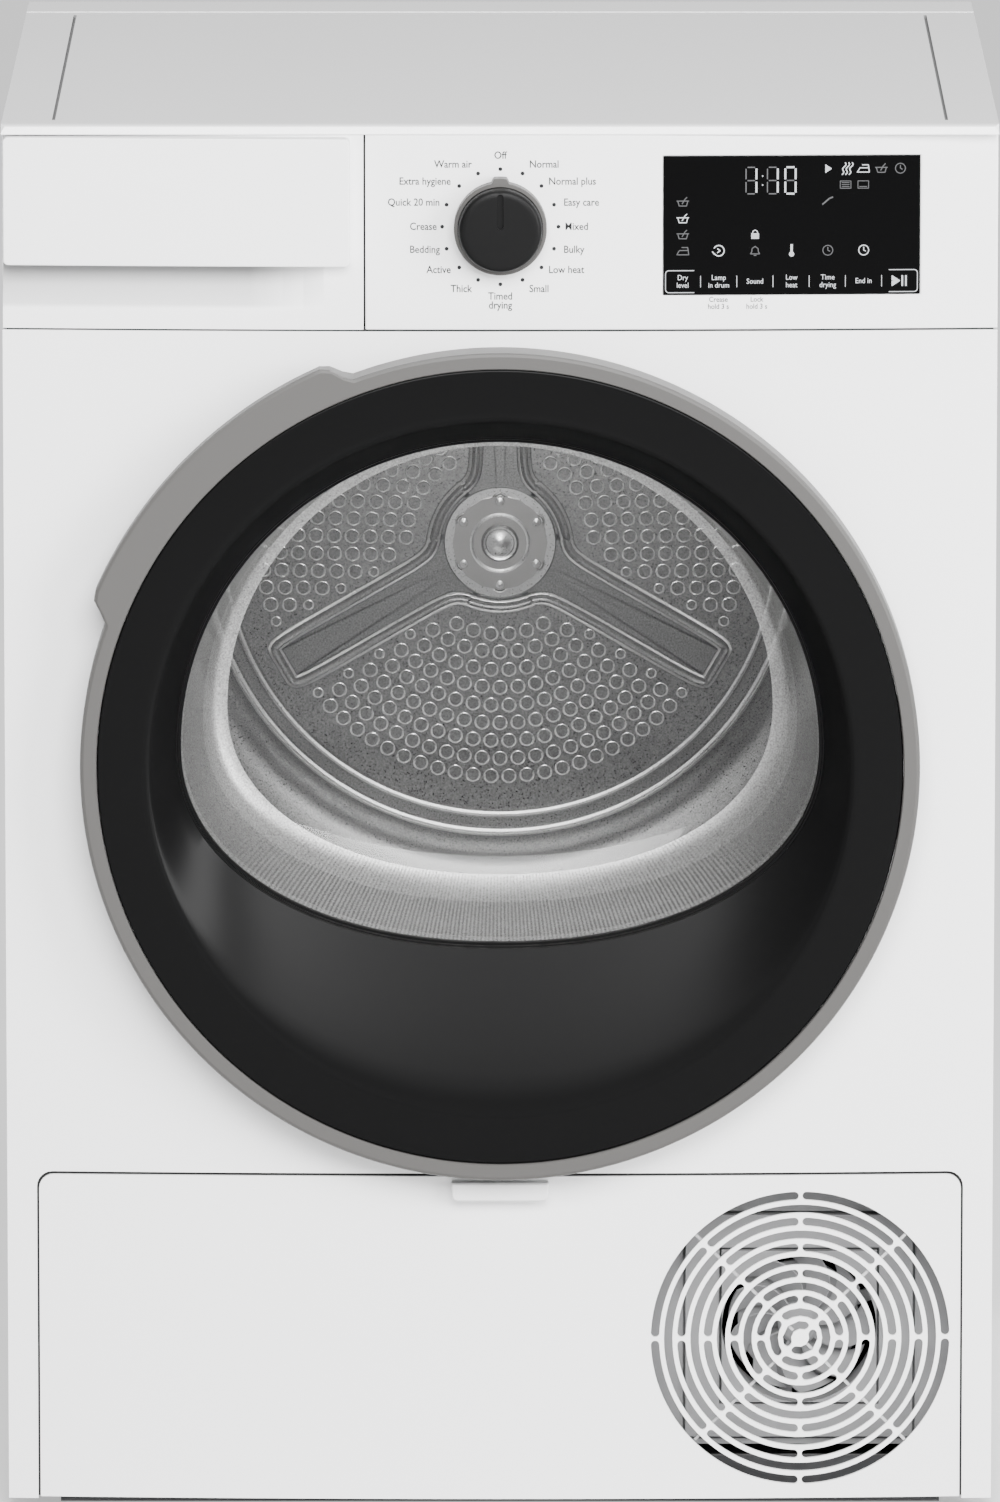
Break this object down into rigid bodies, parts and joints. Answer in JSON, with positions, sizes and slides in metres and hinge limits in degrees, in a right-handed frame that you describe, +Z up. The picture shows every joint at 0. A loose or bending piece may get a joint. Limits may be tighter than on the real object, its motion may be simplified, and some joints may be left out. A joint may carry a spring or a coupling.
{
  "type": "clothes dryer",
  "caption": "Front-loading tumble dryer with a round hinged glass door, a slide-out water tank, a turning selector, a slotted round grille in a service flap and a heat pump in the base.",
  "frame": {"origin": "on the floor, under the middle of the whole machine's bounding box", "axes": "+X to the viewer's right, +Y towards the back, +Z up; the door faces -Y"},
  "size_m": [0.597, 0.617, 0.85],
  "materials": {
    "painted_white": "gloss",
    "white_plastic": "satin",
    "ring_grey": "satin metallic lacquer",
    "black_gloss": "gloss",
    "dark_plastic": "matt",
    "grey_plastic": "matt",
    "galvanised": "zinc coated sheet",
    "stainless": "brushed",
    "aluminium_fins": "fin pack",
    "copper": "drawn tube",
    "rubber": "matt",
    "felt": "felt",
    "door_glass": "clear"
  },
  "bodies": {
    "cabinet": {"base_tray": "dark_plastic", "side_panel_left": "painted_white", "side_panel_right": "painted_white", "rear_panel": "galvanised", "rear_duct_cover": "galvanised", "top_cover": "painted_white", "front_panel": "painted_white", "control_panel": "white_plastic", "display_glass": "black_gloss", "front_bulkhead": "white_plastic", "front_seal": "felt", "rear_seal": "felt", "rear_bearing": "galvanised", "tank_shelf": "galvanised", "motor_housing": "galvanised", "compressor": "black_gloss", "evaporator": "aluminium_fins", "condenser": "aluminium_fins", "refrigerant_pipe": "copper", "exchanger_cover": "dark_plastic", "fan_shroud": "grey_plastic", "condensate_pump": "grey_plastic", "main_board": "dark_plastic", "mains_inlet": "rubber", "door_catch": "grey_plastic", "hinge_bracket": "stainless", "drum_belt": "rubber"},
    "door": {"door_ring": "ring_grey", "door_bezel": "black_gloss", "door_glass": "door_glass", "door_inner_frame": "grey_plastic", "door_gasket": "rubber", "door_hinge_arm": "stainless", "door_hook": "grey_plastic"},
    "drum": {"drum_shell": "stainless", "drum_back": "stainless", "drum_shaft": "stainless", "lifter_1": "stainless", "lifter_2": "stainless", "lifter_3": "stainless"},
    "motor_rotor": {"motor_pulley": "stainless", "process_fan": "grey_plastic"},
    "idler": {"idler_pulley": "galvanised"},
    "left_roller": {"roller_left": "dark_plastic"},
    "right_roller": {"roller_right": "dark_plastic"},
    "fan": {"cooling_fan": "dark_plastic"},
    "knob": {"program_knob": "black_gloss", "knob_ring": "ring_grey"},
    "tank": {"tank_front": "white_plastic", "tank_body": "white_plastic", "tank_lid": "grey_plastic"},
    "flap": {"service_flap": "painted_white", "flap_handle": "white_plastic"},
    "left_latch": {"latch_left": "grey_plastic"},
    "right_latch": {"latch_right": "grey_plastic"},
    "filter": {"lint_filter": "grey_plastic"},
    "front_left_foot": {"foot_left_front": "rubber"},
    "rear_left_foot": {"foot_left_rear": "rubber"},
    "front_right_foot": {"foot_right_front": "rubber"},
    "rear_right_foot": {"foot_right_rear": "rubber"}
  },
  "joints": [
    {"name": "door_swing", "type": "hinge", "parent": "cabinet", "child": "door", "pos_m": [0.238, -0.2995, 0.463], "axis": [0, 0, 1], "range_deg": [0, 95]},
    {"name": "drum_spin", "type": "hinge", "parent": "cabinet", "child": "drum", "pos_m": [0, 0.0185, 0.516], "axis": [0, 1, 0], "continuous": true},
    {"name": "motor_spin", "type": "hinge", "parent": "cabinet", "child": "motor_rotor", "pos_m": [0.06, 0.0185, 0.12], "axis": [0, 1, 0], "continuous": true},
    {"name": "idler_spin", "type": "hinge", "parent": "cabinet", "child": "idler", "pos_m": [0.12494, -0.0265, 0.1507], "axis": [0, 1, 0], "continuous": true},
    {"name": "left_roller_spin", "type": "hinge", "parent": "cabinet", "child": "left_roller", "pos_m": [-0.17, -0.1645, 0.27381], "axis": [0, 1, 0], "continuous": true},
    {"name": "right_roller_spin", "type": "hinge", "parent": "cabinet", "child": "right_roller", "pos_m": [0.17, -0.1645, 0.27381], "axis": [0, 1, 0], "continuous": true},
    {"name": "cooling_fan_spin", "type": "hinge", "parent": "cabinet", "child": "fan", "pos_m": [0.1825, -0.2325, 0.106], "axis": [0, 1, 0], "continuous": true},
    {"name": "knob_turn", "type": "hinge", "parent": "cabinet", "child": "knob", "pos_m": [0.0002, -0.2915, 0.788], "axis": [0, 1, 0], "continuous": true},
    {"name": "tank_pull", "type": "slide", "parent": "cabinet", "child": "tank", "axis": [0, -1, 0], "range_m": [0, 0.4]},
    {"name": "flap_tilt", "type": "hinge", "parent": "cabinet", "child": "flap", "pos_m": [0, -0.2755, 0.011], "axis": [1, 0, 0], "range_deg": [0, 85]},
    {"name": "left_latch_turn", "type": "hinge", "parent": "cabinet", "child": "left_latch", "pos_m": [-0.235, -0.26, 0.12], "axis": [0, 1, 0], "range_deg": [0, 90]},
    {"name": "right_latch_turn", "type": "hinge", "parent": "cabinet", "child": "right_latch", "pos_m": [0.035, -0.26, 0.12], "axis": [0, -1, 0], "range_deg": [0, 90]},
    {"name": "filter_lift", "type": "slide", "parent": "cabinet", "child": "filter", "axis": [0, 0, 1], "range_m": [0, 0.05]},
    {"name": "front_left_foot_screw", "type": "slide", "parent": "cabinet", "child": "front_left_foot", "axis": [0, 0, -1], "range_m": [0, 0.012]},
    {"name": "rear_left_foot_screw", "type": "slide", "parent": "cabinet", "child": "rear_left_foot", "axis": [0, 0, -1], "range_m": [0, 0.012]},
    {"name": "front_right_foot_screw", "type": "slide", "parent": "cabinet", "child": "front_right_foot", "axis": [0, 0, -1], "range_m": [0, 0.012]},
    {"name": "rear_right_foot_screw", "type": "slide", "parent": "cabinet", "child": "rear_right_foot", "axis": [0, 0, -1], "range_m": [0, 0.012]}
  ],
  "couplings": [
    {"joint": "motor_spin", "follows": "drum_spin", "ratio": 18.575},
    {"joint": "idler_spin", "follows": "drum_spin", "ratio": -12.427},
    {"joint": "left_roller_spin", "follows": "drum_spin", "ratio": -10.8},
    {"joint": "right_roller_spin", "follows": "drum_spin", "ratio": -10.8}
  ]
}
